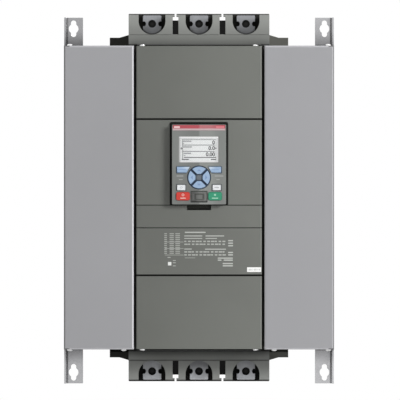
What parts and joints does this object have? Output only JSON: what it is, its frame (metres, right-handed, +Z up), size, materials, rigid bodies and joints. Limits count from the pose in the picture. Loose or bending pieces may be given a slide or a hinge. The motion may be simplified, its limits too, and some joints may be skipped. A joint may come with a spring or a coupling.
{
  "type": "soft starter",
  "caption": "Wall-hung motor soft starter with folded side covers, a moulded front column, a pull-out keypad with display and keys, and shrouded bar terminals at top and bottom.",
  "frame": {"origin": "middle of the four keyholes, on the wall plane behind the rails", "axes": "+X to the right as seen from the front, +Y into the wall, +Z up"},
  "size_m": [0.3638, 0.282, 0.4978],
  "materials": {
    "rail_steel": "zinc-plated sheet, satin",
    "tray_steel": "zinc-plated sheet, satin",
    "cover_paint": "fine powder coat, satin",
    "screw_steel": "bright zinc",
    "sink_aluminium": "plain extrusion",
    "module_plastic": "moulded, matt",
    "bar_metal": "tin-plated bar, satin",
    "contactor_plastic": "moulded, matt",
    "transformer_resin": "cast resin, matt",
    "fan_plastic": "glass-filled, matt",
    "base_plastic": "glass-filled, matt",
    "shroud_plastic": "fine-textured, matt",
    "board_green": "solder resist",
    "terminal_green": "moulded, matt",
    "column_plastic": "fine-textured, matt",
    "keypad_black": "fine-textured, matt",
    "keypad_grey": "fine-textured, matt",
    "lcd_panel": "display film",
    "window_clear": "clear acrylic",
    "strip_red": "printed film",
    "ring_navy": "moulded, matt",
    "key_blue": "silicone-soft, matt",
    "key_white": "silicone-soft, matt",
    "key_red": "silicone-soft, matt",
    "key_green": "silicone-soft, matt",
    "socket_metal": "stamped shell"
  },
  "bodies": {
    "starter": {"mounting_rail_left": "rail_steel", "mounting_rail_right": "rail_steel", "chassis_tray": "tray_steel", "side_cover_left": "cover_paint", "side_cover_right": "cover_paint", "cover_screws": "screw_steel", "heat_sink": "sink_aluminium", "thyristor_1": "module_plastic", "thyristor_2": "module_plastic", "thyristor_3": "module_plastic", "line_bar_1": "bar_metal", "line_bar_2": "bar_metal", "line_bar_3": "bar_metal", "load_bar_1": "bar_metal", "load_bar_2": "bar_metal", "load_bar_3": "bar_metal", "bar_bolts": "screw_steel", "bypass_contactor_1": "contactor_plastic", "bypass_contactor_2": "contactor_plastic", "bypass_contactor_3": "contactor_plastic", "current_transformer_1": "transformer_resin", "current_transformer_2": "transformer_resin", "current_transformer_3": "transformer_resin", "terminal_base_top": "base_plastic", "terminal_base_bottom": "base_plastic", "terminal_shroud_top": "shroud_plastic", "terminal_shroud_bottom": "shroud_plastic", "control_frame": "base_plastic", "control_board": "board_green", "control_terminals": "terminal_green", "upper_cover": "column_plastic", "control_cover": "column_plastic", "option_cover": "column_plastic", "terminal_cover": "column_plastic", "lower_cover": "column_plastic", "fan_frame_1": "fan_plastic", "fan_frame_2": "fan_plastic", "fan_frame_3": "fan_plastic"},
    "keypad": {"keypad_case": "keypad_black", "keypad_front": "keypad_grey", "keypad_board": "board_green", "lcd_module": "lcd_panel", "display_window": "window_clear", "title_strip": "strip_red", "nav_ring": "ring_navy", "usb_socket": "socket_metal"},
    "usb_flap": {"usb_flap": "keypad_grey"},
    "soft_key_left": {"soft_key_left": "key_blue"},
    "soft_key_right": {"soft_key_right": "key_blue"},
    "arrow_key_up": {"arrow_key_up": "key_blue"},
    "arrow_key_down": {"arrow_key_down": "key_blue"},
    "arrow_key_left": {"arrow_key_left": "key_blue"},
    "arrow_key_right": {"arrow_key_right": "key_blue"},
    "help_key": {"help_key": "key_white"},
    "mode_key": {"mode_key": "key_white"},
    "stop_key": {"stop_key": "key_red"},
    "start_key": {"start_key": "key_green"},
    "fan_rotor_1": {"fan_rotor_1": "fan_plastic"},
    "fan_rotor_2": {"fan_rotor_2": "fan_plastic"},
    "fan_rotor_3": {"fan_rotor_3": "fan_plastic"}
  },
  "joints": [
    {"name": "keypad_pull", "type": "slide", "parent": "starter", "child": "keypad", "axis": [0, -1, 0], "range_m": [0, 0.04]},
    {"name": "usb_flap_hinge", "type": "hinge", "parent": "keypad", "child": "usb_flap", "pos_m": [0, -0.2795, -0.00026], "axis": [1, 0, 0], "range_deg": [0, 90]},
    {"name": "soft_key_left_press", "type": "slide", "parent": "keypad", "child": "soft_key_left", "axis": [0, 1, 0], "range_m": [0, 0.0008], "stiffness_N_per_m": 800},
    {"name": "soft_key_right_press", "type": "slide", "parent": "keypad", "child": "soft_key_right", "axis": [0, 1, 0], "range_m": [0, 0.0008], "stiffness_N_per_m": 800},
    {"name": "arrow_key_up_press", "type": "slide", "parent": "keypad", "child": "arrow_key_up", "axis": [0, 1, 0], "range_m": [0, 0.0008], "stiffness_N_per_m": 800},
    {"name": "arrow_key_down_press", "type": "slide", "parent": "keypad", "child": "arrow_key_down", "axis": [0, 1, 0], "range_m": [0, 0.0008], "stiffness_N_per_m": 800},
    {"name": "arrow_key_left_press", "type": "slide", "parent": "keypad", "child": "arrow_key_left", "axis": [0, 1, 0], "range_m": [0, 0.0008], "stiffness_N_per_m": 800},
    {"name": "arrow_key_right_press", "type": "slide", "parent": "keypad", "child": "arrow_key_right", "axis": [0, 1, 0], "range_m": [0, 0.0008], "stiffness_N_per_m": 800},
    {"name": "help_key_press", "type": "slide", "parent": "keypad", "child": "help_key", "axis": [0, 1, 0], "range_m": [0, 0.0008], "stiffness_N_per_m": 800},
    {"name": "mode_key_press", "type": "slide", "parent": "keypad", "child": "mode_key", "axis": [0, 1, 0], "range_m": [0, 0.0008], "stiffness_N_per_m": 800},
    {"name": "stop_key_press", "type": "slide", "parent": "keypad", "child": "stop_key", "axis": [0, 1, 0], "range_m": [0, 0.0008], "stiffness_N_per_m": 800},
    {"name": "start_key_press", "type": "slide", "parent": "keypad", "child": "start_key", "axis": [0, 1, 0], "range_m": [0, 0.0008], "stiffness_N_per_m": 800},
    {"name": "fan_rotor_1_spin", "type": "hinge", "parent": "starter", "child": "fan_rotor_1", "pos_m": [-0.1, -0.0445, -0.1625], "axis": [0, 0, 1], "continuous": true},
    {"name": "fan_rotor_2_spin", "type": "hinge", "parent": "starter", "child": "fan_rotor_2", "pos_m": [0, -0.0445, -0.1625], "axis": [0, 0, 1], "continuous": true},
    {"name": "fan_rotor_3_spin", "type": "hinge", "parent": "starter", "child": "fan_rotor_3", "pos_m": [0.1, -0.0445, -0.1625], "axis": [0, 0, 1], "continuous": true}
  ]
}
